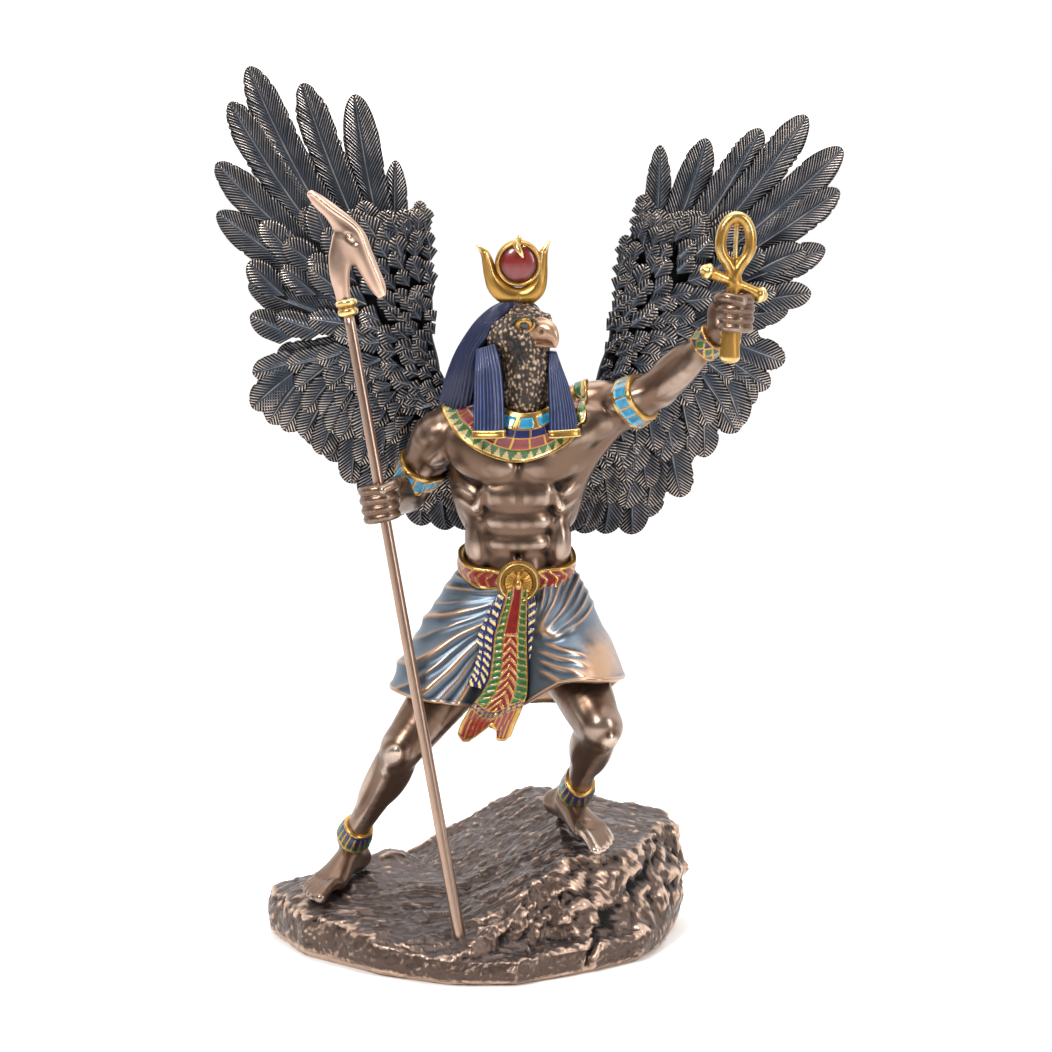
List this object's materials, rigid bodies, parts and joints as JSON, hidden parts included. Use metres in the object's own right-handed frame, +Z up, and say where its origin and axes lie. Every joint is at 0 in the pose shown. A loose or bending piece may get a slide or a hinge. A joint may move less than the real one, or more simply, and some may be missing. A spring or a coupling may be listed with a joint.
{
  "type": "falcon-headed deity figurine",
  "caption": "Cast figurine of a falcon-headed sun god striding on a broken rock, wings spread, a long sceptre in his right fist and a raised ankh in his left",
  "frame": {"origin": "middle of the flat underside of the rock, on the surface it stands on", "axes": "+Z up; +X towards the left hand of the figure; the front of the figure faces -Y"},
  "size_m": [0.1991, 0.097, 0.2769],
  "materials": {
    "rock": "cold-cast bronze resin, dark patina with rubbed copper edges",
    "bronze_skin": "cold-cast bronze resin, polished reddish brown with painted ornament",
    "wing_gunmetal": "blue-grey metallic paint dry-brushed with copper",
    "rod_bronze": "smooth pale bronze paint, semi-gloss",
    "sceptre_bronze": "dark bronze paint with rubbed edges and a gold ring",
    "antique_gold": "antique gold metallic paint, darkened in the hollows",
    "kilt_gunmetal": "blue-grey metallic paint with bronze rubbed through on the ridges of the folds",
    "wig_navy": "deep navy paint over cast strands, lighter on the strands",
    "falcon_brown": "dark brown feather texture speckled with tan",
    "ornament_enamel": "hand-painted glossy colours in cast gold cells",
    "disc_red": "glossy red paint on the sun disc"
  },
  "bodies": {
    "root": {"rock_base": "rock", "figure": "bronze_skin", "wing_right": "wing_gunmetal", "wing_left": "wing_gunmetal", "sceptre_rod": "rod_bronze", "sceptre_head": "sceptre_bronze", "ankh": "antique_gold"}
  },
  "joints": []
}
